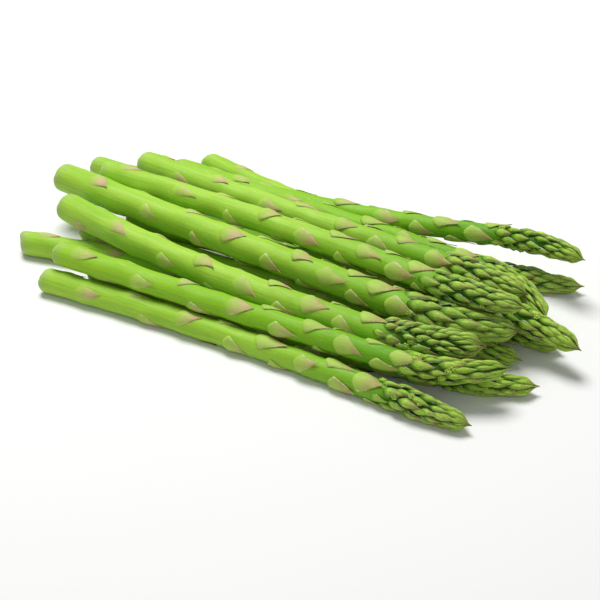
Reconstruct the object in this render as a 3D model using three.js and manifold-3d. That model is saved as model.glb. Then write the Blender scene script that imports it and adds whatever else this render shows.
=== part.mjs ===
import * as THREE from "three";
import { mergeVertices } from "three/addons/utils/BufferGeometryUtils.js";
import Module from "manifold-3d";

// A bundle of asparagus spears lying in a loose heap, butts towards -X and heads towards +X.
// Millimetres, +Z up. The origin is under the middle of the heap, on the surface it lies on.

const wasm = await Module();
wasm.setup();

// Spear form
const TAPER = 0.16; // share of its thickness that a stem loses from butt to tip
const NECK = 0.8; // share of the length where the head starts
const HEAD_SWELL = 0.1; // how much the head swells before it narrows
const HEAD_BLUNT = 3.6; // the greater, the later and rounder the head narrows to its tip
const HEAD_CORE = 0.8; // the stalk inside the head, as a share of the head's thickness
const BUTT_ROUND = 1.8; // rounding of the cut end
const SINK = 0.4; // depth by which a spear on the surface is pressed flat
const STEM_SIDES = 9;
const STEM_STEPS = 5;
const HEAD_STEPS = 3;

// Bracts on the stem and scales on the head
const GOLDEN_TURN = Math.PI * (3 - Math.sqrt(5));
const FIRST_BRACT = 10; // distance of the lowest bract from the butt
const FIRST_GAP = 12.5; // distance from it to the next on the spiral
const GAP_SHRINK = 0.952; // each distance as a share of the one before
const EVERY = 2; // one place in so many on the spiral carries a shield, larger than life
const BRACT = { corners: 5, length: 12, width: 10.5, thick: 0.7, lift: 1, root: 1.6 };
const HEAD_PLACES = 32;
const HEAD_SCALE = { corners: 4, length: 13, width: 9, thick: 1.1, lift: 0.6, root: 1.8 };
const PRESSED = 0.42; // share of the room to a neighbour that a bract may take

// Each spear's butt and tip seen from above, its bow to the side, the hook of its head to the side,
// its thickness and the turn of its first bract. One without heights lies on the surface. The others
// have the heights of butt and tip where they rest on the spears below, an arch and a rise of the head.
// Slant is how far the cut of the butt runs out of square, and open how far the scales of a loose head
// stand off it.
const SPEARS = [
  { butt: [-100, -67.5], tip: [121.5, -65.5], bow: 5, hook: 2, thick: 11.8, turn: 0.4, slant: 1 },
  { butt: [-84, -50], tip: [136.5, -31.5], bow: -7.5, hook: 7, thick: 11.2, turn: 2.2, slant: 1 },
  { butt: [-130, -47.5], tip: [93, -28.5], bow: 10.5, hook: 6, thick: 12.2, turn: 1.2, slant: -5 },
  { butt: [-112, -20.5], tip: [122.5, -11.5], bow: 2, hook: 0, thick: 11.4, turn: 3.1, slant: 1 },
  { butt: [-90, 19], tip: [134.5, 4.5], bow: 0, hook: 2.5, thick: 11.4, turn: 0.9, slant: 1 },
  { butt: [-145, 33.5], tip: [85, 27.5], bow: 2, hook: 1.5, thick: 11.4, turn: 4.4, slant: 2 },
  { butt: [-94.5, 67.5], tip: [124.5, 48.5], bow: -7.5, hook: 9, thick: 11, turn: 5.2, slant: 4 },
  {
    butt: [-97, -59.2], tip: [126.5, -49.4], bow: 0.5, hook: 15, thick: 11.6, turn: 1.9, slant: 1,
    heights: [17.3, 14.3], arch: -1, rise: 3,
  },
  {
    butt: [-92, -7.5], tip: [145.5, 5], bow: 0, hook: -9.5, thick: 12, turn: 0.2, slant: 1,
    heights: [9.9, 17.2], arch: 0, rise: -3,
  },
  {
    butt: [-92.5, 35.5], tip: [125, 30], bow: 1.5, hook: -20, thick: 11.4, turn: 2.7, slant: 1,
    heights: [17.5, 15], arch: 0, rise: -0.8,
  },
  {
    butt: [-115.5, -28], tip: [112, -36.5], bow: -8, hook: 6, thick: 14.4, turn: 3.6, slant: 1,
    heights: [21.2, 16.2], arch: -1, rise: 7, open: 1.6,
  },
  {
    butt: [-105.5, 53.5], tip: [126, 63], bow: -12, hook: -14.5, thick: 10.6, turn: 4.9, slant: 2,
    heights: [5.6, 24.5], arch: 0, rise: 0,
  },
  {
    butt: [-131.2, -10.5], tip: [118.4, -18.7], bow: -1, hook: 12, thick: 15, turn: 5.6, slant: 1,
    heights: [24.6, 16], arch: 0, rise: 0,
  },
  {
    butt: [-114, 2.7], tip: [119, -11.5], bow: 4.5, hook: 7, thick: 12.2, turn: 1.4, slant: 1,
    heights: [25.4, 27.6], arch: 0, rise: 0,
  },
  {
    butt: [-106.5, 25], tip: [112.5, 21], bow: -2, hook: -5, thick: 12, turn: 0.7, slant: 1,
    heights: [22.5, 19], arch: 0, rise: 0.8,
  },
];

// Share of the head that lies behind a place along the spear, from 0 at the neck to 1 at the tip.
function headShare(t) {
  return Math.min(Math.max((t - NECK) / (1 - NECK), 0), 1);
}

// Radius that a spear would have at a share t of its length if its head didn't narrow.
function fullRadiusAt(spear, t) {
  const swell = 1 + HEAD_SWELL * Math.sin(Math.PI * Math.min(headShare(t) / 0.6, 1));
  return (spear.thick / 2) * (1 - TAPER * t) * swell;
}

// Radius of a spear over its scales, at a share t of its length.
function radiusAt(spear, t) {
  return fullRadiusAt(spear, t) * Math.sqrt(Math.max(1 - headShare(t) ** HEAD_BLUNT, 0.02));
}

class SpearAxis extends THREE.Curve {
  constructor(spear) {
    super();
    this.spear = spear;
    this.butt = new THREE.Vector2(...spear.butt);
    this.run = new THREE.Vector2(...spear.tip).sub(this.butt);
    this.side = new THREE.Vector2(-this.run.y, this.run.x).normalize();
  }

  getPoint(t, target = new THREE.Vector3()) {
    const { bow, hook, heights, arch, rise } = this.spear;
    const middle = 4 * t * (1 - t);
    const end = headShare(t) ** 2;
    const aside = bow * middle + hook * end;
    const height = heights
      ? heights[0] + (heights[1] - heights[0]) * t + arch * middle + rise * end
      : fullRadiusAt(this.spear, t) - SINK;
    return target.set(
      this.butt.x + this.run.x * t + this.side.x * aside,
      this.butt.y + this.run.y * t + this.side.y * aside,
      height,
    );
  }
}

const axes = SPEARS.map((spear) => new SpearAxis(spear));

// Point at a share t of the spear's length, at an angle round it and a distance from its axis.
function pointOn(axis, t, angle, distance) {
  const within = Math.min(Math.max(t, 0), 1);
  const along = axis.getTangent(within);
  const side = new THREE.Vector3(0, 0, 1).cross(along).normalize();
  const up = new THREE.Vector3().crossVectors(along, side);
  return axis
    .getPoint(within)
    .addScaledVector(along, (t - within) * axis.run.length())
    .addScaledVector(side, distance * Math.cos(angle))
    .addScaledVector(up, distance * Math.sin(angle));
}

// Free distance from a point to the skin of the nearest other spear.
const SAMPLES = 56;
const samples = axes.map((axis) =>
  Array.from({ length: SAMPLES + 1 }, (_, i) => ({
    point: axis.getPoint(i / SAMPLES),
    radius: radiusAt(axis.spear, i / SAMPLES),
  })),
);

function roomAt(axis, point) {
  let room = Infinity;
  samples.forEach((line, i) => {
    if (axes[i] === axis) return;
    for (const { point: other, radius } of line) {
      room = Math.min(room, point.distanceTo(other) - radius);
    }
  });
  return Math.max(room, 0);
}

// Turns a three.js geometry into a solid, once every vertex has been moved by the given function.
function solidFrom(geometry, move) {
  const bare = geometry.clone();
  bare.deleteAttribute("normal");
  bare.deleteAttribute("uv");
  const merged = mergeVertices(bare, 1e-4);
  const place = merged.attributes.position;
  const vertex = new THREE.Vector3();
  for (let i = 0; i < place.count; i++) {
    move(vertex.fromBufferAttribute(place, i));
    place.setXYZ(i, vertex.x, vertex.y, vertex.z);
  }
  const corners = [];
  for (let i = 0; i < merged.index.count; i += 3) {
    const [a, b, c] = [0, 1, 2].map((k) => merged.index.getX(i + k));
    if (a !== b && b !== c && c !== a) corners.push(a, b, c);
  }
  return new wasm.Manifold(
    new wasm.Mesh({ numProp: 3, vertProperties: place.array, triVerts: new Uint32Array(corners) }),
  );
}

// The stem with the stalk inside its head: a turned profile bent along the axis.
function stem(axis) {
  const { spear } = axis;
  const length = axis.run.length();
  const profile = [new THREE.Vector2(0, 0)];
  profile.push(new THREE.Vector2(radiusAt(spear, 0) - BUTT_ROUND, 0));
  for (let i = 0; i <= STEM_STEPS; i++) {
    const t = i === 0 ? BUTT_ROUND / length : (NECK * i) / STEM_STEPS;
    profile.push(new THREE.Vector2(radiusAt(spear, t), t * length));
  }
  for (let i = 1; i <= HEAD_STEPS; i++) {
    const t = NECK + (1 - NECK) * (i / (HEAD_STEPS + 1)) ** 0.8;
    profile.push(new THREE.Vector2(HEAD_CORE * radiusAt(spear, t), t * length));
  }
  profile.push(new THREE.Vector2(0, length));
  const flatDown = Math.PI / STEM_SIDES - Math.PI / 2;
  return solidFrom(new THREE.LatheGeometry(profile, STEM_SIDES, flatDown), (v) => {
    const angle = Math.atan2(v.x, v.z);
    const distance = Math.hypot(v.x, v.z);
    const nearButt = Math.max(1 - v.y / 12, 0);
    const slant = (spear.slant * nearButt * distance * Math.cos(angle)) / spear.thick;
    v.copy(pointOn(axis, (v.y + slant) / length, angle, distance));
  });
}

// One bract or head scale: a pointed shield with a rounded shoulder, rooted in the stem.
function shield(axis, start, angle, form, size) {
  const length = axis.run.length();
  const reach = form.length * size;
  const middle = (start + reach / 2) / length;
  const ground = radiusAt(axis.spear, Math.min(middle, 0.97));
  const room = roomAt(axis, pointOn(axis, middle, angle, ground));
  const pressed = Math.min(1, (PRESSED * room) / Math.max(form.thick, form.lift));
  return solidFrom(new THREE.ConeGeometry(1, 1, form.corners), (v) => {
    const isRoot = v.y > 0;
    const isRidge = Math.hypot(v.x, v.z) < 0.5;
    const along = isRoot ? 0.4 : 0.5 + 0.5 * v.z;
    const t = Math.min((start + reach * along) / length, 0.995);
    const skin = radiusAt(axis.spear, t);
    const across = (v.x * (1.1 - 0.6 * along) * form.width * size) / 2;
    const edge = 0.1 + (form.lift - 0.1) * along ** 2;
    const above = isRoot ? -form.root : pressed * (isRidge ? form.thick : edge);
    v.copy(pointOn(axis, t, angle + across / ground, Math.max(skin + above, 0.2)));
  });
}

function spearSolid(axis) {
  const { spear } = axis;
  const length = axis.run.length();
  const pieces = [stem(axis)];
  let along = FIRST_BRACT;
  let gap = FIRST_GAP;
  let angle = spear.turn;
  for (let i = 0; along < NECK * length; i++) {
    if (i % EVERY === 0) pieces.push(shield(axis, along, angle, BRACT, 1));
    along += gap;
    gap *= GAP_SHRINK;
    angle += GOLDEN_TURN;
  }
  for (let i = 0; i < HEAD_PLACES; i += EVERY) {
    const share = i / HEAD_PLACES;
    const start = length * (NECK + (1 - NECK) * 0.78 * share);
    const scale = { ...HEAD_SCALE, lift: HEAD_SCALE.lift + (spear.open ?? 0) };
    pieces.push(shield(axis, start, angle + i * GOLDEN_TURN, scale, 1 - 0.45 * share));
  }
  const underfoot = solidFrom(new THREE.BoxGeometry(400, 300, 20), (v) => v.setZ(v.z - 10));
  const joined = wasm.Manifold.union(pieces).subtract(underfoot).simplify(0.1);
  const bodies = joined.decompose().sort((a, b) => b.volume() - a.volume());
  return bodies[0];
}

function meshFrom(solid, name) {
  const { vertProperties, triVerts } = solid.getMesh();
  const geometry = new THREE.BufferGeometry();
  geometry.setAttribute("position", new THREE.BufferAttribute(vertProperties, 3));
  geometry.setIndex(new THREE.BufferAttribute(triVerts, 1));
  const material = new THREE.MeshStandardMaterial({ color: 0x7cb342, roughness: 0.45, metalness: 0 });
  const mesh = new THREE.Mesh(geometry, material);
  mesh.name = name;
  return mesh;
}

const bundle = new THREE.Group();
axes.forEach((axis, i) => {
  bundle.add(meshFrom(spearSolid(axis), `spear_${String(i + 1).padStart(2, "0")}`));
});

export default bundle;
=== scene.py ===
import math

import bpy
import numpy as np
from bpy.props import FloatProperty, FloatVectorProperty, IntProperty, PointerProperty
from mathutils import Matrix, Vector


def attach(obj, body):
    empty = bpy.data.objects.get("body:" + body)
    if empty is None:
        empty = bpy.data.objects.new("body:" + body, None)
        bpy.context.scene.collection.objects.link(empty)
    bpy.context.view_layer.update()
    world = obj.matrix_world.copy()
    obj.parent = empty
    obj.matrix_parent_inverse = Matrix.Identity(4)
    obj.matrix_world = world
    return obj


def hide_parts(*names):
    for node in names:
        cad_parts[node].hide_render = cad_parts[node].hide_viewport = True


# The looks of a bundle of asparagus: fifteen spears in a loose heap, each with its stem, its bracts
# and its head of scales. Places along and across a spear are in millimetres, meshes are in metres.

bl_info = {
    "name": "Bundle of asparagus",
    "version": (1, 0, 0),
    "blender": (4, 5, 0),
    "location": "3D View > Sidebar > Asparagus",
    "description": "Grows the stems, bracts and heads of a bundle of asparagus",
    "category": "Add Mesh",
}

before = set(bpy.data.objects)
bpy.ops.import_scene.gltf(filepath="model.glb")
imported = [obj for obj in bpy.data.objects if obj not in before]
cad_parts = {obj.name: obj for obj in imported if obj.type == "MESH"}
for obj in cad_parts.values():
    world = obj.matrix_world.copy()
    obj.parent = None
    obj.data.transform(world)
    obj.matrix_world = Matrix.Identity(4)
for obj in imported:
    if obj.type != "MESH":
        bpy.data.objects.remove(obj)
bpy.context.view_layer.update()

MM = 0.001
BODY = "root"

# Spear form
TAPER = 0.16  # share of its thickness that a stem loses from butt to tip
NECK = 0.8  # share of the length where the head starts
HEAD_SWELL = 0.1  # how much the head swells before it narrows
SWELL_END = 0.6  # share of the head where that swelling ends
HEAD_BLUNT = 3.6  # the greater, the later and rounder the head narrows to its tip
HEAD_CORE = 0.8  # the stalk inside the head, as a share of the head's thickness
TIP_LEAST = 0.02  # square of the share of its thickness that the head keeps at its tip
SINK = 0.4  # depth by which a spear on the surface is pressed flat

# Under each bract the stem swells, and above the bract it is narrower. Places are from the bract's foot.
NODE_PLACE, NODE_REACH = 2.5, 4.5
WAIST_PLACE, WAIST_REACH = 15, 6
WAIST_DEPTH = 0.4  # as a share of the swelling

# Spiral of bracts and head scales
GOLDEN_TURN = math.pi * (3 - math.sqrt(5))
FIRST_BRACT = 10  # distance of the lowest bract from the butt
FIRST_GAP = 12.5  # distance from it to the next on the spiral
GAP_SHRINK = 0.952  # each distance as a share of the one before
PRESSED = 0.42  # share of the room to a neighbour that a bract may take
LEAST_ROOM = 0.05  # height that a bract keeps where a neighbour touches its stem
USUAL_THICK = 12  # thickness of a spear whose bracts and scales have their stated sizes

# Each spear's butt and tip seen from above, its bow to the side, the hook of its head to the side,
# its thickness and the turn of its first bract. One without heights lies on the surface. The others
# have the heights of butt and tip where they rest on the spears below, an arch and a rise of the head.
# Slant is how far the cut of the butt runs out of square, open how far the scales of a loose head stand
# off it, and pale how light and blushed the spear is.
SPEARS = [
    dict(butt=(-100, -67.5), tip=(121.5, -65.5), bow=5, hook=2, thick=11.8, turn=0.4, slant=1, pale=0.75),
    dict(butt=(-84, -50), tip=(136.5, -31.5), bow=-7.5, hook=7, thick=11.2, turn=2.2, slant=1, pale=0.3),
    dict(butt=(-130, -47.5), tip=(93, -28.5), bow=10.5, hook=6, thick=12.2, turn=1.2, slant=-5, pale=0.75),
    dict(butt=(-112, -20.5), tip=(122.5, -11.5), bow=2, hook=0, thick=11.4, turn=3.1, slant=1, pale=0.7),
    dict(butt=(-90, 19), tip=(134.5, 4.5), bow=0, hook=2.5, thick=11.4, turn=0.9, slant=1, pale=0.3),
    dict(butt=(-145, 33.5), tip=(85, 27.5), bow=2, hook=1.5, thick=11.4, turn=4.4, slant=2, pale=0.6),
    dict(butt=(-94.5, 67.5), tip=(124.5, 48.5), bow=-7.5, hook=9, thick=11, turn=5.2, slant=4, pale=0.8),
    dict(butt=(-97, -59.2), tip=(126.5, -49.4), bow=0.5, hook=15, thick=11.6, turn=1.9, slant=1,
         heights=(17.3, 14.3), arch=-1, rise=3, pale=0.3),
    dict(butt=(-92, -7.5), tip=(145.5, 5), bow=0, hook=-9.5, thick=12, turn=0.2, slant=1,
         heights=(9.9, 17.2), arch=0, rise=-3, pale=0.3),
    dict(butt=(-92.5, 35.5), tip=(125, 30), bow=1.5, hook=-20, thick=11.4, turn=2.7, slant=1,
         heights=(17.5, 15), arch=0, rise=-0.8, pale=0.3),
    dict(butt=(-115.5, -28), tip=(112, -36.5), bow=-8, hook=6, thick=14.4, turn=3.6, slant=1,
         heights=(21.2, 16.2), arch=-1, rise=7, open=1.6, pale=1.0),
    dict(butt=(-105.5, 53.5), tip=(126, 63), bow=-12, hook=-14.5, thick=10.6, turn=4.9, slant=2,
         heights=(5.6, 24.5), arch=0, rise=0, pale=0.3),
    dict(butt=(-131.2, -10.5), tip=(118.4, -18.7), bow=-1, hook=12, thick=15, turn=5.6, slant=1,
         heights=(24.6, 16), arch=0, rise=0, pale=0.9),
    dict(butt=(-114, 2.7), tip=(119, -11.5), bow=4.5, hook=7, thick=12.2, turn=1.4, slant=1,
         heights=(25.4, 27.6), arch=0, rise=0, pale=0.85),
    dict(butt=(-106.5, 25), tip=(112.5, 21), bow=-2, hook=-5, thick=12, turn=0.7, slant=1,
         heights=(22.5, 19), arch=0, rise=0.8, pale=0.85),
]


class BundleSizes(bpy.types.PropertyGroup):
    """Sizes of the finer forms of the spears"""

    stem_sides: IntProperty(
        name="Stem sides", description="Faces round a stem", default=44, min=16)
    stem_step: FloatProperty(
        name="Stem step", description="Length of the faces along a stem",
        default=0.0012, min=0.0005, unit="LENGTH")
    butt_round: FloatProperty(
        name="Butt rounding", description="Radius of the worn edge of the cut end",
        default=0.0034, min=0.0003, unit="LENGTH")
    node_swell: FloatProperty(
        name="Node swell", description="How far the stem swells under a bract",
        default=0.00055, unit="LENGTH")
    bract_length: FloatProperty(
        name="Bract length", description="Length of a bract on the stem", default=0.0126, unit="LENGTH")
    bract_width: FloatProperty(
        name="Bract width", description="Width of a bract on a spear 12 mm thick",
        default=0.0105, unit="LENGTH")
    bract_lift: FloatProperty(
        name="Bract lift", description="How far the tip of a bract stands off the stem",
        default=0.0009, unit="LENGTH")
    scale_count: IntProperty(
        name="Head scales", description="Number of scales on a head", default=60, min=12)
    scale_length: FloatProperty(
        name="Scale length", description="Length of the lowest head scales", default=0.0104, unit="LENGTH")
    scale_width: FloatProperty(
        name="Scale width", description="Width of the lowest head scales", default=0.0064, unit="LENGTH")
    scale_plump: FloatProperty(
        name="Scale plumpness", description="How far the bud under a head scale swells it",
        default=0.0014, unit="LENGTH")
    bud_length: FloatProperty(
        name="Bud length", description="Length of the small buds between the head scales",
        default=0.0020, unit="LENGTH")


def colour(name, description, default):
    return FloatVectorProperty(
        name=name, description=description, default=default, size=3, min=0, max=1, subtype="COLOR")


class BundleColours(bpy.types.PropertyGroup):
    """Colours of the skin of stems, bracts and heads, and of the stage"""

    stem_pale: colour("Stem pale", "Pale yellow-green of the lightest spears", (0.42, 0.68, 0.07))
    stem_light: colour("Stem light", "Yellow-green of the lower stem", (0.33, 0.60, 0.026))
    stem_mid: colour("Stem middle", "Green of the middle of the stem", (0.235, 0.51, 0.012))
    stem_deep: colour("Stem deep", "Deep green below the head", (0.085, 0.30, 0.004))
    speck: colour("Speck", "Dark brown-green of the rare specks on the stem", (0.06, 0.07, 0.015))
    cut_face: colour("Cut face", "Pale flesh of the cut end", (0.50, 0.60, 0.26))
    bract_pale: colour("Bract pale", "Pale green of the middle of a bract", (0.45, 0.60, 0.13))
    bract_blush: colour("Bract blush", "Pink-tan of the upper half of a bract", (0.64, 0.42, 0.27))
    bract_edge: colour("Bract edge", "Thin dry edge of a bract", (0.78, 0.78, 0.58))
    head_light: colour("Head light", "Yellow-green of the head scales", (0.56, 0.76, 0.10))
    # Deep green of the veins of the head scales, and also painted shade: it darkens the gaps between the
    # scales, their overlapped feet and sides, and the stalk inside the head
    head_deep_and_shade: colour("Head deep", "Deep green between the head scales", (0.035, 0.15, 0.003))
    head_blush: colour("Head blush", "Purple-brown tint of the head scales", (0.30, 0.20, 0.09))
    floor: colour("Floor", "Pale studio floor", (0.86, 0.86, 0.85))


def smooth_step(x):
    """Rises from 0 to 1 as x does, level at both ends."""
    x = np.clip(x, 0, 1)
    return x * x * (3 - 2 * x)


def hump(x, place, reach):
    """A smooth rise to 1 at a place, fading out over a reach on both sides."""
    return np.exp(-(((x - place) / reach) ** 2))


def head_share(t):
    """Share of the head that lies behind a place along the spear, from 0 at the neck to 1 at the tip."""
    return np.clip((t - NECK) / (1 - NECK), 0, 1)


NUDGE = 1e-4  # share of the length over which the direction of the axis is taken
TIP_NEAR = 0.97  # share of the length past which a width is spread round the spear as it is here


class Spear:
    """One spear: its bent axis, the skin round it and the spiral of its bracts."""

    def __init__(self, number, form):
        self.name = f"spear_{number:02d}"
        self.form = form
        self.thick = form["thick"]
        self.pale = form["pale"]
        self.open = form.get("open", 0)
        self.butt = np.array(form["butt"], float)
        self.run = np.array(form["tip"], float) - self.butt
        self.length = float(np.hypot(*self.run))
        self.side = np.array([-self.run[1], self.run[0]]) / self.length
        self.seed = number
        self.waves = np.random.default_rng(100 + number).uniform(0, 2 * math.pi, 4)
        self.bracts, self.head_turn = self.spiral()

    def full_radius(self, t):
        """Radius that the spear would have, at a share t of the length, if its head didn't narrow."""
        swell = 1 + HEAD_SWELL * np.sin(np.pi * np.minimum(head_share(t) / SWELL_END, 1))
        return self.thick / 2 * (1 - TAPER * t) * swell

    def radius(self, t):
        """Radius over the scales, at a share t of the length."""
        return self.full_radius(t) * np.sqrt(np.maximum(1 - head_share(t) ** HEAD_BLUNT, TIP_LEAST))

    def radius_at(self, s):
        """Radius over the scales at a distance s from the butt, for spreading a width round the spear."""
        return float(self.radius(np.array([min(s / self.length, TIP_NEAR)]))[0])

    def axis(self, t):
        """Points of the bent axis at shares t of the length."""
        form = self.form
        middle = 4 * t * (1 - t)
        end = head_share(t) ** 2
        aside = form["bow"] * middle + form["hook"] * end
        if "heights" in form:
            low, high = form["heights"]
            height = low + (high - low) * t + form["arch"] * middle + form["rise"] * end
        else:
            height = self.full_radius(t) - SINK
        flat = self.butt + self.run * t[:, None] + self.side * aside[:, None]
        return np.column_stack([flat, height])

    def place(self, t, angle, distance):
        """Points at shares t of the length, at angles round the axis and distances from it."""
        t = np.asarray(t, float)
        within = np.clip(t, 0, 1)
        ahead = self.axis(np.minimum(within + NUDGE, 1))
        behind = self.axis(np.maximum(within - NUDGE, 0))
        along = ahead - behind
        along /= np.linalg.norm(along, axis=1)[:, None]
        side = np.column_stack([-along[:, 1], along[:, 0], np.zeros(len(t))])
        side /= np.linalg.norm(side, axis=1)[:, None]
        up = np.cross(along, side)
        points = self.axis(within) + along * ((t - within) * self.length)[:, None]
        points += side * (distance * np.cos(angle))[:, None]
        points += up * (distance * np.sin(angle))[:, None]
        return points

    def spiral(self):
        """Distance from the butt and angle of each bract on the stem, and the angle where the head starts."""
        along, gap, angle = FIRST_BRACT, FIRST_GAP, self.form["turn"]
        bracts = []
        while along < NECK * self.length:
            bracts.append((along, angle))
            along += gap
            gap *= GAP_SHRINK
            angle += GOLDEN_TURN
        return bracts, angle

    def skin(self, t, angle):
        """Radius of the skin with its slight unevenness and its swelling under each bract."""
        oval, lobes, wave, drift = self.waves
        s = t * self.length
        # Out of round and three-sided, then wavy along the stem, then faintly ribbed
        uneven = 0.025 * np.cos(2 * angle + oval + s / 90) + 0.014 * np.cos(3 * angle + lobes - s / 60)
        uneven = uneven + 0.016 * np.sin(s / 7.5 + wave) * np.sin(s / 31 + drift)
        uneven = uneven + 0.006 * np.cos(7 * angle + wave + s / 120) * np.cos(4 * angle - drift)
        radius = self.radius(t) * (1 + uneven * (1 - head_share(t)))
        swell = bpy.context.scene.bundle_sizes.node_swell / MM
        for start, turn in self.bracts:
            near = hump(s - start, NODE_PLACE, NODE_REACH)
            near = near - WAIST_DEPTH * hump(s - start, WAIST_PLACE, WAIST_REACH)
            radius = radius + swell * near * (0.5 + 0.5 * np.cos(angle - turn))
        return radius


BUNDLE = [Spear(i + 1, form) for i, form in enumerate(SPEARS)]
ROOM_SAMPLES = 110  # points along each spear


def neighbour_samples(spear):
    """Axis points of all other spears and the radius there, to tell how much room a bract has."""
    t = np.linspace(0, 1, ROOM_SAMPLES)
    others = [other for other in BUNDLE if other is not spear]
    points = np.concatenate([other.axis(t) for other in others])
    radii = np.concatenate([other.radius(t) for other in others])
    return points, radii


def free_room(points, neighbours):
    """Free distance from each point to the skin of the nearest other spear."""
    centres, radii = neighbours
    squares = (points ** 2).sum(1)[:, None] + (centres ** 2).sum(1)[None] - 2 * points @ centres.T
    return np.maximum((np.sqrt(np.maximum(squares, 0)) - radii).min(1), 0)


# Share of the way along the spear, across and along the leaf, a random tone, and how pale the spear is.
# On a stem the second is the share of the cut face, and the third that of the skin's radius.
VALUES = ("along", "edge", "reach", "tone", "pale")


class Shape:
    """Vertices, faces and shading values of a piece, gathered part by part."""

    def __init__(self):
        self.points, self.faces, self.values = [], [], []
        self.count = 0

    def add(self, points, face_groups, values):
        """Values are columns: the place on the unbent spear in mm (3), then those of VALUES."""
        self.points.append(points)
        for group in face_groups:
            self.faces += (group + self.count).tolist()
        self.values.append(values)
        self.count += len(points)

    def build(self, name, material):
        points = np.concatenate(self.points)
        points[:, 2] = np.maximum(points[:, 2], 0)
        values = np.concatenate(self.values).astype(np.float32)
        mesh = bpy.data.meshes.new(name)
        mesh.from_pydata((points * MM).tolist(), [], self.faces)
        mesh.shade_smooth()
        unbent = mesh.attributes.new("unbent", "FLOAT_VECTOR", "POINT")
        unbent.data.foreach_set("vector", values[:, :3].ravel())
        for column, label in enumerate(VALUES, start=3):
            attribute = mesh.attributes.new(label, "FLOAT", "POINT")
            attribute.data.foreach_set("value", np.ascontiguousarray(values[:, column]))
        mesh.materials.append(material)
        piece = bpy.data.objects.new(name, mesh)
        bpy.context.scene.collection.objects.link(piece)
        return piece


def dress(piece, spear):
    """Fixes a piece to the bundle in place of its spear's plain solid."""
    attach(piece, BODY)
    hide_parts(spear.name)


def grid_faces(rows, columns, closed):
    """Quads of a grid of vertices, row by row, closed round if told so."""
    last = columns if closed else columns - 1
    r, c = np.meshgrid(np.arange(rows - 1), np.arange(last), indexing="ij")
    n = (c + 1) % columns
    return np.stack([r * columns + c, r * columns + n, (r + 1) * columns + n, (r + 1) * columns + c],
                    axis=-1).reshape(-1, 4)


# Stems

CORE_END = 0.99  # share of the length where the stalk inside the head ends
CLOSING = 6  # stretch before the tip where the head closes up to a point
CLOSED = 0.85  # share of its thickness that it loses there
STALK_SET = 0.15  # share of the stalk over which it narrows from the stem
STALK_SHORT = 2.5  # how much shorter it is in a loose head, for each millimetre that the scales stand off
CUT_RINGS = ((0.25, 0.02), (0.25, 0.3), (0.25, 0.55), (0.1, 0.8))  # depth and share of the radius
EDGE_RINGS = 6
STALK_RINGS = 22
CUT_REACH = 12  # stretch of stem over which the slant and the torn edge of the cut fade out


def closing(spear, s):
    """Share of its thickness that a spear has at a distance from its butt, as it closes to its tip."""
    return 1 - CLOSED * smooth_step((s - spear.length + CLOSING) / CLOSING)


def stem_profile(spear, sizes):
    """Distance along, radius as a share of the skin, and share of the cut face, from butt to tip."""
    edge = sizes.butt_round / MM
    radius = spear.radius_at(0)
    inner = (radius - edge) / radius
    rows = [(depth, share * inner, 1.0) for depth, share in CUT_RINGS]
    for turn in np.linspace(0, math.pi / 2, EDGE_RINGS):
        depth = edge * (1 - math.cos(turn))
        rows.append((depth, inner + (1 - inner) * math.sin(turn), 1 - depth / edge))
    end = NECK * spear.length
    steps = int((end - edge) / (sizes.stem_step / MM))
    rows += [(s, 1.0, 0.0) for s in np.linspace(edge, end, steps + 1)[1:]]
    stalk = CORE_END * spear.length - STALK_SHORT * spear.open
    for share in np.linspace(0, 1, STALK_RINGS)[1:]:
        core = (1 - (1 - HEAD_CORE) * min(share / STALK_SET, 1)) * (1 - 0.2 * share ** 3)
        along = end + (stalk - end) * share
        rows.append((along, core * float(closing(spear, along)) ** 1.5, 0.0))
    rows.append((stalk + 0.2, 0.02, 0.0))
    return np.array(rows)


def grow_stem(spear, sizes, shape):
    """The stem as rings of vertices from the middle of the cut face to the end of the stalk."""
    sides = sizes.stem_sides
    profile = stem_profile(spear, sizes)
    rows = len(profile)
    angle = np.tile(np.arange(sides) * 2 * math.pi / sides, rows)
    s, share, cut = (np.repeat(profile[:, i], sides) for i in range(3))
    t = s / spear.length
    distance = spear.skin(t, angle) * share
    near_butt = np.maximum(1 - s / CUT_REACH, 0)
    slant = spear.form["slant"] * near_butt * distance * np.cos(angle) / spear.thick
    oval, lobes = spear.waves[:2]
    torn = 0.5 * np.sin(3 * angle + lobes) + 0.3 * np.sin(8 * angle + oval) + 0.2 * np.sin(13 * angle)
    slant = slant + 0.9 * torn * near_butt ** 3 * distance / spear.thick
    points = spear.place(t + slant / spear.length, angle, distance)
    unbent = np.column_stack([distance * np.cos(angle), distance * np.sin(angle), s])
    tone = np.full(len(s), np.random.default_rng(spear.seed).uniform())
    values = np.column_stack([unbent, t, cut, share, tone, np.full(len(s), spear.pale)])
    butt_cap = np.arange(sides)[None, ::-1]
    tip_cap = np.arange((rows - 1) * sides, rows * sides)[None]
    shape.add(points, [grid_faces(rows, sides, closed=True), butt_cap, tip_cap], values)


# Bracts and head scales

LEAF_ACROSS = 13
LEAF_ALONG = 15
SKIN_END = 0.996  # share of the length past which a leaf follows the skin found here
LEAST_DISTANCE = 0.12  # distance that a leaf keeps from the axis


def leaf_grid():
    """Places across a leaf, from -1 to 1, and along it, from 0 at its foot to 1 at its tip."""
    u, v = np.meshgrid(np.linspace(-1, 1, LEAF_ACROSS), np.linspace(0, 1, LEAF_ALONG), indexing="xy")
    return u.ravel(), v.ravel()


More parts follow.
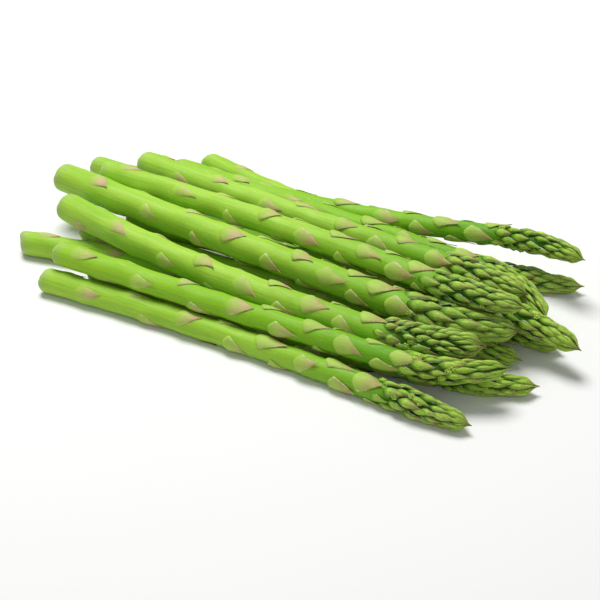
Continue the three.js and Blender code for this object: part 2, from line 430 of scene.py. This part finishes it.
def add_leaf(shape, spear, neighbours, start, angle, leaf, rng):
    """One closed leaf on the skin: an outer and an inner face that meet in a thin rim.

    The leaf says its length, width, outline, height over the skin and thickness, its skew (how far the
    tip may bend aside), its sag (how far the middle of its foot reaches back) and the droop of its tip.
    """
    u, v = leaf_grid()
    bend = rng.uniform(-1, 1) * leaf["skew"]
    half = leaf["width"] / 2 * leaf["outline"](v)
    s = start + leaf["length"] * (v - leaf["sag"] * (1 - u ** 2) * (1 - v) ** 2)
    t = np.minimum(s / spear.length, 1.0)
    ground = spear.radius_at(start + leaf["length"] / 2)
    turn = angle + (u * half + bend * leaf["width"] * v ** 2) / ground
    skin = spear.skin(np.minimum(t, SKIN_END), turn)
    outer = leaf["height"](u, v)
    room = free_room(spear.place(t, turn, skin), neighbours)
    outer = np.where(outer > 0, np.minimum(outer, PRESSED * room + LEAST_ROOM), outer)
    inner = outer - leaf["thickness"](u, v)
    count = len(u)
    turn, t, s, u, v = (np.tile(values, 2) for values in (turn, t, s, u, v))
    distance = np.concatenate([skin + outer, skin + inner]) * closing(spear, t * spear.length)
    distance = np.maximum(distance, LEAST_DISTANCE)
    unbent = np.column_stack([distance * np.cos(turn), distance * np.sin(turn), s])
    tone, pale = np.full(2 * count, rng.uniform()), np.full(2 * count, spear.pale)
    values = np.column_stack([unbent, t, np.abs(u), v, tone, pale])
    faces = grid_faces(LEAF_ALONG, LEAF_ACROSS, closed=False)
    bottom = np.arange(LEAF_ACROSS)
    top = bottom + (LEAF_ALONG - 1) * LEAF_ACROSS
    left = np.arange(LEAF_ALONG) * LEAF_ACROSS
    right = left + LEAF_ACROSS - 1
    loop = np.concatenate([bottom, right[1:], top[::-1][1:], left[::-1][1:-1]])
    following = np.roll(loop, -1)
    rim = np.column_stack([loop + count, following + count, following, loop])
    points = spear.place(t, turn, distance)
    points[:, 2] -= leaf.get("droop", 0) * v ** 2
    shape.add(points, [faces, faces[:, ::-1] + count, rim], values)


def bract_form(spear, sizes, rng, share):
    """Form of one bract: a shield with a round base, hollow sides and a long lifting tip.

    Low on the stem its base melts into the skin. Towards the head it stands up in a plump step.
    """
    plump = smooth_step((share - 0.12) / 0.55)
    # Height of the tip over the skin, then of the middle of the bract
    lift = sizes.bract_lift / MM * rng.uniform(0.0, 1.25) ** 2 * (0.5 + 0.5 * plump)
    crown = 0.16 + 0.72 * plump * rng.uniform(0.8, 1.15)
    # Share of the length over which the foot rises, how far the sides draw in, and how far they curl up
    step = 0.36 - 0.28 * plump
    hollow = rng.uniform(1.3, 2.1)
    curl = rng.uniform(-0.1, 0.3) * (0.4 + 0.6 * plump)

    def outline(v):
        shoulder = 0.80 + 0.20 * smooth_step(v / 0.10)
        return shoulder * (0.87 * (1 - v) ** hollow * (1 + 1.1 * v) + 0.13 * (1 - v) ** 0.5)

    def height(u, v):
        rise = smooth_step(v / step)
        flat = 1 - 0.65 * smooth_step((v - step) / 0.7)
        body = crown * flat * (1 - 0.6 * np.abs(u) ** 2.6) + 0.06
        sides = curl * np.abs(u) ** 4 * smooth_step(v / 0.4)
        sides = sides - 0.28 * (1 - plump) * u ** 6 * smooth_step((0.8 - v) / 0.45)
        return -(0.12 + 0.43 * plump) * (1 - rise) + (body + sides) * rise + lift * v ** 2.6

    def thickness(u, v):
        return 0.10 + (0.18 + 0.34 * plump) * (1 - u ** 2) * (1 - 0.8 * v)

    return dict(
        length=sizes.bract_length / MM * rng.uniform(0.78, 1.12),
        width=sizes.bract_width / MM * math.sqrt(spear.thick / USUAL_THICK) * rng.uniform(0.8, 1.05),
        outline=outline, height=height, thickness=thickness, skew=0.34, sag=0.24)


def add_bracts(spear, sizes, shape):
    """All bracts of a stem, each a little off its place on the spiral."""
    rng = np.random.default_rng(200 + spear.seed)
    neighbours = neighbour_samples(spear)
    for start, angle in spear.bracts:
        share = start / (NECK * spear.length)
        form = bract_form(spear, sizes, rng, share)
        add_leaf(shape, spear, neighbours, start + rng.uniform(-1, 1), angle + rng.uniform(-0.12, 0.12),
                 form, rng)


# Heads

TIP_WIDTH = 1.7  # width of the scales at the tip
OPEN_SLIM = 0.35  # share by which the scales of a loose head are smaller
OPEN_DROOP = 2.4  # how far they hang at the tip, for each millimetre that they stand off


def scale_form(spear, sizes, rng, share):
    """Form of one head scale: a teardrop swollen by the bud under it, slender near the tip."""
    size = spear.thick / USUAL_THICK * rng.uniform(0.8, 1.12)
    # Swelling of the bud, height of the tip over the head, and depth of the foot on the stalk
    plump = sizes.scale_plump / MM * size * (1 - 0.2 * share) * rng.uniform(0.75, 1.2)
    lift = rng.uniform(-0.2, 0.6) * (1 - 0.7 * share) + spear.open * rng.uniform(0.8, 1.9)
    foot = -(1 - HEAD_CORE) * spear.thick / 2 * (1 - 0.3 * share)
    pointed = rng.uniform(0.85, 1.35) * (1 - 0.5 * share ** 2)
    slim = 1 - OPEN_SLIM * min(spear.open, 1)

    def outline(v):
        return (0.62 + 0.38 * smooth_step(v / 0.2)) * (1 - v) ** pointed * (1 + 0.75 * v)

    def height(u, v):
        rise = foot * (1 - smooth_step(v / 0.45))
        bud = plump * np.sin(np.pi * np.minimum(v * 0.7 + 0.26, 1)) ** 0.8 * smooth_step(v / 0.08)
        flank = (0.85 * plump + 0.15) * np.abs(u) ** 2 + 0.35 * np.abs(u) ** 4
        return rise + bud - flank * (1 - 0.5 * v) + lift * v ** 2 * (1 - 0.4 * v * (spear.open > 0))

    def thickness(u, v):
        return 0.15 + 0.6 * (1 - u ** 2) * (1 - v)

    return dict(
        droop=OPEN_DROOP * spear.open * share ** 2,
        length=sizes.scale_length / MM * size * (1 - 0.08 * share) * slim,
        width=(sizes.scale_width / MM * (1 - share) ** 1.1 + TIP_WIDTH * share) * size * slim,
        outline=outline, height=height, thickness=thickness, skew=0.2, sag=0.12)


BUDS_TOGETHER = 7
BUD_ROUND = 8
BUD_RINGS = 6
BUD_SLIM = 0.36  # half the width of a bud, as a share of its length
OPEN_CROWDING = 0.45  # share by which a loose head has more scales, for each millimetre they stand off
HEAD_CROWDING = 1.3  # the greater, the closer the scales stand towards the tip
SCALE_OVERLAP = 0.05  # how far the lowest scales start before the head, as a share of its length
SCALE_SPREAD = 0.92  # length over which the scales start, as a share of the head's length
TO_THE_TIP = 0.7  # share of the scales after which each reaches the tip of the spear
FLORETS_END = 0.5  # share of the scales after which no buds show between them
FLORET_CHANCE = 0.25


def add_bud(shape, spear, start, angle, size, lift, rng):
    """A small drop-shaped bud lying on the head's stalk, its tip forwards."""
    ring = np.repeat(np.linspace(0, math.pi, BUD_RINGS + 2)[1:-1], BUD_ROUND)
    turn = np.tile(np.arange(BUD_ROUND) * 2 * math.pi / BUD_ROUND, BUD_RINGS)
    ahead = -np.cos(ring)
    girth = np.sin(ring) * (1 - 0.35 * ahead) * BUD_SLIM
    s = start + size * (0.5 + 0.5 * ahead)
    ground = spear.radius_at(start)
    around = angle + size * girth * np.cos(turn) / ground
    t = s / spear.length
    distance = spear.radius(np.minimum(t, 0.99)) + lift + size * girth * np.sin(turn)
    points = spear.place(t, around, distance)
    unbent = np.column_stack([distance * np.cos(around), distance * np.sin(around), s])
    tone, edge, pale = (np.full(len(s), number) for number in (rng.uniform(), 0.2, spear.pale))
    values = np.column_stack([unbent, t, edge, 0.5 + 0.5 * ahead, tone, pale])
    faces = grid_faces(BUD_RINGS, BUD_ROUND, closed=True)[:, ::-1]
    back_cap = np.arange(BUD_ROUND)[None]
    front_cap = np.arange((BUD_RINGS - 1) * BUD_ROUND, BUD_RINGS * BUD_ROUND)[None, ::-1]
    shape.add(points, [faces, back_cap, front_cap], values)


def add_floret(shape, spear, sizes, middle, angle, share, rng):
    """A ring of small buds round one in the middle, open between the scales."""
    length = sizes.bud_length / MM * (1 - 0.4 * share)
    ring = 0.55 * length
    ground = spear.radius_at(middle)
    add_bud(shape, spear, middle, angle, length, 0.5, rng)
    for k in range(BUDS_TOGETHER):
        turn = 2 * math.pi * k / BUDS_TOGETHER
        add_bud(shape, spear, middle + ring * math.cos(turn), angle + ring * math.sin(turn) / ground,
                length * rng.uniform(0.75, 1.0), rng.uniform(0.0, 0.4), rng)


def form_head(spear, sizes, shape):
    """The scales of a head on the spiral that goes on from the bracts, with florets between some."""
    rng = np.random.default_rng(300 + spear.seed)
    neighbours = neighbour_samples(spear)
    head = (1 - NECK) * spear.length
    count = int(sizes.scale_count * (1 + OPEN_CROWDING * spear.open))
    for i in range(count):
        share = i / count
        passed = (1 - math.exp(-HEAD_CROWDING * share)) / (1 - math.exp(-HEAD_CROWDING))
        start = NECK * spear.length + head * (SCALE_SPREAD * passed - SCALE_OVERLAP)
        angle = spear.head_turn + i * GOLDEN_TURN + rng.uniform(-0.2, 0.2)
        form = scale_form(spear, sizes, rng, share)
        left = spear.length - start
        form["length"] = left if share > TO_THE_TIP else min(form["length"], left)
        add_leaf(shape, spear, neighbours, start, angle, form, rng)
        if share < FLORETS_END and rng.uniform() < FLORET_CHANCE:
            add_floret(shape, spear, sizes, start + rng.uniform(1.5, 3.5),
                       angle + rng.choice((-1, 1)) * rng.uniform(0.5, 0.8), share, rng)


# Materials

class Nodes:
    """A material's node tree, with short ways to add the nodes that the skins use."""

    def __init__(self, name):
        self.material = bpy.data.materials.new(name)
        self.material.use_nodes = True
        self.tree = self.material.node_tree
        self.shader = self.tree.nodes["Principled BSDF"]

    def link(self, value, socket):
        if isinstance(value, bpy.types.NodeSocket):
            self.tree.links.new(value, socket)
        else:
            socket.default_value = value

    def value(self, name):
        node = self.tree.nodes.new("ShaderNodeAttribute")
        node.attribute_name = name
        return node.outputs["Vector"] if name == "unbent" else node.outputs["Fac"]

    def stretched(self, scale):
        """The place on the unbent spear, stretched by a scale on each axis."""
        node = self.tree.nodes.new("ShaderNodeVectorMath")
        node.operation = "MULTIPLY"
        self.link(self.value("unbent"), node.inputs[0])
        node.inputs[1].default_value = scale
        return node.outputs["Vector"]

    def noise(self, scale, detail=3, roughness=0.55):
        node = self.tree.nodes.new("ShaderNodeTexNoise")
        self.link(self.stretched(scale), node.inputs["Vector"])
        node.inputs["Scale"].default_value = 1
        node.inputs["Detail"].default_value = detail
        node.inputs["Roughness"].default_value = roughness
        return node.outputs["Fac"]

    def specks(self, scale):
        node = self.tree.nodes.new("ShaderNodeTexVoronoi")
        self.link(self.stretched(scale), node.inputs["Vector"])
        node.inputs["Scale"].default_value = 1
        return node.outputs["Distance"]

    def span(self, value, low, high, to_low=0.0, to_high=1.0):
        """Value from low to high, turned into a share from to_low to to_high."""
        node = self.tree.nodes.new("ShaderNodeMapRange")
        node.interpolation_type = "SMOOTHSTEP"
        for socket, number in zip(node.inputs[:5], (value, low, high, to_low, to_high)):
            self.link(number, socket)
        return node.outputs["Result"]

    def math(self, operation, a, b):
        node = self.tree.nodes.new("ShaderNodeMath")
        node.operation = operation
        self.link(a, node.inputs[0])
        self.link(b, node.inputs[1])
        return node.outputs["Value"]

    def mix(self, share, a, b):
        node = self.tree.nodes.new("ShaderNodeMix")
        node.data_type = "RGBA"
        self.link(share, node.inputs["Factor"])
        self.link(a, node.inputs[6])
        self.link(b, node.inputs[7])
        return node.outputs[2]

    def bump(self, height, distance, strength):
        node = self.tree.nodes.new("ShaderNodeBump")
        node.inputs["Strength"].default_value = strength
        node.inputs["Distance"].default_value = distance
        self.link(height, node.inputs["Height"])
        self.link(node.outputs["Normal"], self.shader.inputs["Normal"])

    def finish(self, base, roughness, subsurface):
        self.link(base, self.shader.inputs["Base Color"])
        self.link(roughness, self.shader.inputs["Roughness"])
        self.shader.inputs["Subsurface Weight"].default_value = subsurface
        self.shader.inputs["Subsurface Radius"].default_value = (0.7, 1.0, 0.25)
        self.shader.inputs["Subsurface Scale"].default_value = 0.0016
        self.shader.inputs["Specular IOR Level"].default_value = 0.2
        return self.material


def rgba(rgb, factor=1.0):
    """A colour as a shader takes it, made lighter or darker by a factor."""
    return tuple(c * factor for c in rgb) + (1.0,)


VALUES_OF_LEAF = ("edge", "reach", "tone", "along", "pale")


def stem_green(n, colours):
    """Green of the skin: yellow-green at the butt, deeper below the head, lighter on pale spears."""
    along, pale = n.value("along"), n.value("pale")
    base = n.mix(n.span(along, 0.05, 0.5), rgba(colours.stem_light), rgba(colours.stem_mid))
    light = n.math("MULTIPLY", n.span(pale, 0.3, 1.0), n.span(along, 0.95, 0.5))
    base = n.mix(light, base, rgba(colours.stem_pale))
    deep = n.math("MULTIPLY", n.span(along, 0.5, 0.85), n.span(pale, 1.1, 0.1, 0.45, 1.0))
    patches = n.noise((0.10, 0.10, 0.025), detail=2)
    base = n.mix(n.span(patches, 0.40, 0.62, 0.0, 0.45), base, rgba(colours.stem_light, 0.85))
    return n.mix(deep, base, rgba(colours.stem_deep))


def stem_skin(colours):
    """Satin skin with fine lengthwise streaks, rare specks and a pale worn cut end."""
    n = Nodes("asparagus_stem")
    along = n.value("along")
    base = stem_green(n, colours)
    # Streaks, from broad to fine
    broad = n.noise((0.9, 0.9, 0.02), detail=3)
    base = n.mix(n.span(broad, 0.42, 0.66, 0.0, 0.35), base, rgba(colours.stem_deep, 1.6))
    streaks = n.noise((2.6, 2.6, 0.05), detail=4, roughness=0.7)
    base = n.mix(n.span(streaks, 0.42, 0.72, 0.0, 0.22), base, rgba(colours.stem_deep))
    fine = n.noise((6.5, 6.5, 0.12), detail=3)
    base = n.mix(n.span(fine, 0.46, 0.62, 0.0, 0.28), base, rgba(colours.stem_pale))
    # Rare specks
    dots = n.math("MULTIPLY", n.span(n.specks((0.55, 0.55, 0.30)), 0.12, 0.05),
                  n.span(n.noise((0.16, 0.16, 0.10), detail=1), 0.56, 0.64))
    base = n.mix(n.math("MULTIPLY", dots, 0.55), base, rgba(colours.speck))
    # Painted shade: the stalk inside the head turns a near-black deep green, as it shows only in the shaded
    # gaps between the scales. Then worn skin at the butt, and the flesh of the cut face
    base = n.mix(n.span(along, 0.80, 0.86, 0.0, 0.85), base, rgba(colours.head_deep_and_shade))
    worn = n.math("MULTIPLY", n.span(along, 0.04, 0.002), n.span(n.noise((0.5, 0.5, 0.25)), 0.35, 0.65))
    base = n.mix(n.math("MULTIPLY", worn, 0.75), base, rgba(colours.cut_face, 0.8))
    cut = n.span(n.value("edge"), 0.25, 0.95)
    flesh = n.mix(n.noise((1.6, 1.6, 0.3)), rgba(colours.cut_face), rgba(colours.cut_face, 0.62))
    base = n.mix(cut, base, flesh)
    roughness = n.span(n.noise((0.7, 0.7, 0.06)), 0.3, 0.7, 0.36, 0.50)
    n.bump(n.math("ADD", streaks, n.math("MULTIPLY", fine, 0.5)), 0.00022, 0.6)
    return n.finish(base, roughness, subsurface=0.08)


def bract_skin(colours):
    """Papery bract: its base melts into the stem low down, its upper half is blushed, its edge is dry."""
    n = Nodes("asparagus_bract")
    edge, reach, tone, along, pale = (n.value(name) for name in VALUES_OF_LEAF)
    veins = n.noise((3.8, 3.8, 0.07), detail=3, roughness=0.65)
    base = n.mix(n.span(veins, 0.40, 0.66, 0.0, 0.6), rgba(colours.bract_pale), rgba(colours.stem_mid))
    # Green that its foot and sides melt into, the more so the lower it stands
    green = n.mix(n.span(along, 0.5, 0.8), stem_green(n, colours), rgba(colours.stem_light))
    blotch = n.noise((0.30, 0.30, 0.22), detail=3)
    sides = n.math("MULTIPLY", n.span(edge, 0.45, 0.95), n.span(reach, 0.75, 0.3))
    melt = n.math("MAXIMUM", n.span(reach, 0.40, 0.0), sides)
    melt = n.math("MAXIMUM", melt, n.span(blotch, 0.55, 0.40, 0.0, 0.55))
    melt = n.math("MULTIPLY", melt, n.span(along, 0.75, 0.2, 0.25, 1.0))
    base = n.mix(melt, base, green)
    # Blush of the upper half, stronger on some bracts and on pale spears
    margin = n.math("ADD", n.span(edge, 0.45, 1.0, 0.0, 0.35), n.span(reach, 0.15, 0.85, 0.0, 1.0))
    blush = n.math("MULTIPLY", margin, n.span(blotch, 0.34, 0.60, 0.30, 1.0))
    warmth = n.math("ADD", n.span(tone, 0.0, 1.0, 0.25, 1.0), n.span(pale, 0.3, 1.0, 0.0, 0.4))
    blush = n.math("MULTIPLY", blush, warmth)
    tan = n.mix(n.span(along, 0.35, 0.85), rgba(colours.bract_blush), rgba(colours.head_blush, 1.4))
    base = n.mix(n.math("MINIMUM", blush, 0.85), base, tan)
    base = n.mix(n.span(reach, 0.5, 1.0, 0.0, 0.65), base, rgba(colours.head_blush, 1.3))
    # Thin dry rim
    rim = n.math("MAXIMUM", n.span(edge, 0.84, 0.97), n.span(reach, 0.97, 1.0))
    dry = n.math("MULTIPLY", rim, n.span(n.noise((0.5, 0.5, 0.4)), 0.45, 0.65, 0.0, 0.65))
    base = n.mix(dry, base, rgba(colours.bract_edge))
    roughness = n.span(veins, 0.3, 0.7, 0.46, 0.60)
    n.bump(veins, 0.00018, 0.6)
    return n.finish(base, roughness, subsurface=0.08)


def head_skin(colours):
    """Head scales: painted shade of deep green between them, yellow-green backs, purple-brown tips and pale
    margins.
    """
    n = Nodes("asparagus_head")
    edge, reach, tone, along, pale = (n.value(name) for name in VALUES_OF_LEAF)
    green = n.mix(n.span(along, 0.84, 1.0), rgba(colours.stem_light, 0.8), rgba(colours.head_light, 0.6))
    base = n.mix(n.span(tone, 0.0, 1.0, 0.45, 1.0), green, rgba(colours.head_light))
    base = n.mix(n.span(pale, 0.3, 1.0, 0.0, 0.4), base, rgba(colours.bract_pale))
    veins = n.noise((4.5, 4.5, 0.10), detail=3, roughness=0.65)
    base = n.mix(n.span(veins, 0.42, 0.60, 0.0, 0.75), base, rgba(colours.head_deep_and_shade, 2.2))
    # Painted shade: the foot and sides of each scale are darkened, where the scales overlap and shade each
    # other
    base = n.mix(n.span(reach, 0.36, 0.05, 0.0, 0.9), base, rgba(colours.head_deep_and_shade))
    base = n.mix(n.span(edge, 0.5, 0.9, 0.0, 0.7), base, rgba(colours.head_deep_and_shade, 1.6))
    blotch = n.noise((0.45, 0.45, 0.30), detail=3)
    # Purple-brown tips, then pale margins
    margin = n.math("ADD", n.span(edge, 0.35, 0.9, 0.0, 0.3), n.span(reach, 0.30, 1.0, 0.0, 1.0))
    blush = n.math("MULTIPLY", margin, n.span(blotch, 0.36, 0.58, 0.3, 1.0))
    blush = n.math("MULTIPLY", blush, n.span(tone, 0.1, 0.9, 0.35, 1.0))
    base = n.mix(blush, base, rgba(colours.head_blush))
    dry = n.math("MULTIPLY", n.span(edge, 0.82, 0.96), n.span(n.noise((0.6, 0.6, 0.4)), 0.46, 0.60, 0.0, 0.9))
    base = n.mix(dry, base, rgba(colours.bract_edge, 0.85))
    roughness = n.span(veins, 0.3, 0.7, 0.46, 0.60)
    n.bump(veins, 0.0002, 0.7)
    return n.finish(base, roughness, subsurface=0.06)


# Operators

class BUNDLE_OT_stems(bpy.types.Operator):
    """Grow the stem of each spear, from its cut butt to the stalk inside its head"""

    bl_idname = "bundle.stems"
    bl_label = "Grow stems"

    def execute(self, context):
        material = stem_skin(context.scene.bundle_colours)
        for spear in BUNDLE:
            shape = Shape()
            grow_stem(spear, context.scene.bundle_sizes, shape)
            dress(shape.build(f"{spear.name}_stem", material), spear)
        return {"FINISHED"}


class BUNDLE_OT_bracts(bpy.types.Operator):
    """Set the bracts on a spiral round each stem"""

    bl_idname = "bundle.bracts"
    bl_label = "Set bracts"

    def execute(self, context):
        material = bract_skin(context.scene.bundle_colours)
        for spear in BUNDLE:
            shape = Shape()
            add_bracts(spear, context.scene.bundle_sizes, shape)
            dress(shape.build(f"{spear.name}_bracts", material), spear)
        return {"FINISHED"}


class BUNDLE_OT_heads(bpy.types.Operator):
    """Cover each head with overlapping scales and small buds"""

    bl_idname = "bundle.heads"
    bl_label = "Form heads"

    def execute(self, context):
        material = head_skin(context.scene.bundle_colours)
        for spear in BUNDLE:
            shape = Shape()
            form_head(spear, context.scene.bundle_sizes, shape)
            dress(shape.build(f"{spear.name}_head", material), spear)
        return {"FINISHED"}


# Viewing angle of the photograph, with the point looked at and its distance in metres
VIEW_AZIMUTH = math.radians(30)
VIEW_ELEVATION = math.radians(35)
VIEW_AIM = Vector((0.0195, -0.0295, 0.012))
VIEW_DISTANCE = 0.65
VIEW_LENS = 85
VIEW_SENSOR = 36
FLOOR_SIZE = 6.0

# Place and width of each light in metres, and its power in watts
KEY_LIGHT = ((-0.35, 0.25, 1.1), 0.6, 14.2)
FILL_LIGHT = ((0.7, -0.9, 0.7), 0.9, 1.6)
SKY_STRENGTH = 0.30


def aim(obj, place, target):
    """Sets a light or the camera at a place and turns it to a target."""
    obj.location = place
    obj.rotation_mode = "QUATERNION"
    obj.rotation_quaternion = (target - place).to_track_quat("-Z", "Y")


def add_light(name, place, size, power):
    """A round soft light that shines on the middle of the bundle."""
    light = bpy.data.lights.new(name, "AREA")
    light.shape = "DISK"
    light.size = size
    light.energy = power
    lamp = bpy.data.objects.new(name, light)
    bpy.context.scene.collection.objects.link(lamp)
    aim(lamp, Vector(place), Vector((0, 0, 0)))


def floor_material(tint):
    """Dull pale floor with a faint grain."""
    n = Nodes("studio_floor")
    n.shader.inputs["Specular IOR Level"].default_value = 0.1
    grain = n.tree.nodes.new("ShaderNodeTexNoise")
    grain.inputs["Scale"].default_value = 40
    base = n.mix(n.span(grain.outputs["Fac"], 0.3, 0.7, 0.0, 0.04), rgba(tint), rgba(tint, 0.9))
    n.link(base, n.shader.inputs["Base Color"])
    n.shader.inputs["Roughness"].default_value = 0.9
    return n.material


class BUNDLE_OT_stage(bpy.types.Operator):
    """Lay the pale floor, set the soft lights and place the camera"""

    bl_idname = "bundle.stage"
    bl_label = "Set the stage"

    def execute(self, context):
        scene = context.scene
        half = FLOOR_SIZE / 2
        corners = [(-half, -half, 0), (half, -half, 0), (half, half, 0), (-half, half, 0)]
        mesh = bpy.data.meshes.new("floor")
        mesh.from_pydata(corners, [], [(0, 1, 2, 3)])
        mesh.materials.append(floor_material(scene.bundle_colours.floor))
        floor = bpy.data.objects.new("floor", mesh)
        scene.collection.objects.link(floor)

        world = bpy.data.worlds.new("studio")
        world.use_nodes = True
        world.node_tree.nodes["Background"].inputs["Color"].default_value = (1, 1, 1, 1)
        world.node_tree.nodes["Background"].inputs["Strength"].default_value = SKY_STRENGTH
        scene.world = world
        add_light("key", *KEY_LIGHT)
        add_light("fill", *FILL_LIGHT)

        data = bpy.data.cameras.new("camera")
        data.lens = VIEW_LENS
        data.sensor_width = VIEW_SENSOR
        data.clip_start = 0.01
        data.clip_end = 20
        camera = bpy.data.objects.new("camera", data)
        scene.collection.objects.link(camera)
        level = math.cos(VIEW_ELEVATION)
        back = Vector((math.sin(VIEW_AZIMUTH) * level, -math.cos(VIEW_AZIMUTH) * level,
                       math.sin(VIEW_ELEVATION)))
        aim(camera, VIEW_AIM + back * VIEW_DISTANCE, VIEW_AIM)
        scene.camera = camera
        scene.view_settings.view_transform = "Standard"
        return {"FINISHED"}


class BUNDLE_PT_panel(bpy.types.Panel):
    """Lists the pieces of the bundle, their sizes and their colours"""

    bl_idname = "BUNDLE_PT_panel"
    bl_label = "Bundle of asparagus"
    bl_space_type = "VIEW_3D"
    bl_region_type = "UI"
    bl_category = "Asparagus"

    def draw(self, context):
        layout = self.layout
        for operator in OPERATORS:
            layout.operator(operator.bl_idname)
        for group in (context.scene.bundle_sizes, context.scene.bundle_colours):
            box = layout.box()
            for key in type(group).__annotations__:
                box.prop(group, key)


OPERATORS = (BUNDLE_OT_stage, BUNDLE_OT_stems, BUNDLE_OT_bracts, BUNDLE_OT_heads)
CLASSES = (BundleSizes, BundleColours) + OPERATORS + (BUNDLE_PT_panel,)


def register():
    for cls in CLASSES:
        bpy.utils.register_class(cls)
    bpy.types.Scene.bundle_sizes = PointerProperty(type=BundleSizes)
    bpy.types.Scene.bundle_colours = PointerProperty(type=BundleColours)


def unregister():
    del bpy.types.Scene.bundle_colours
    del bpy.types.Scene.bundle_sizes
    for cls in reversed(CLASSES):
        bpy.utils.unregister_class(cls)


def main():
    register()
    bpy.ops.bundle.stage()
    bpy.ops.bundle.stems()
    bpy.ops.bundle.bracts()
    bpy.ops.bundle.heads()


if __name__ == "__main__":
    main()
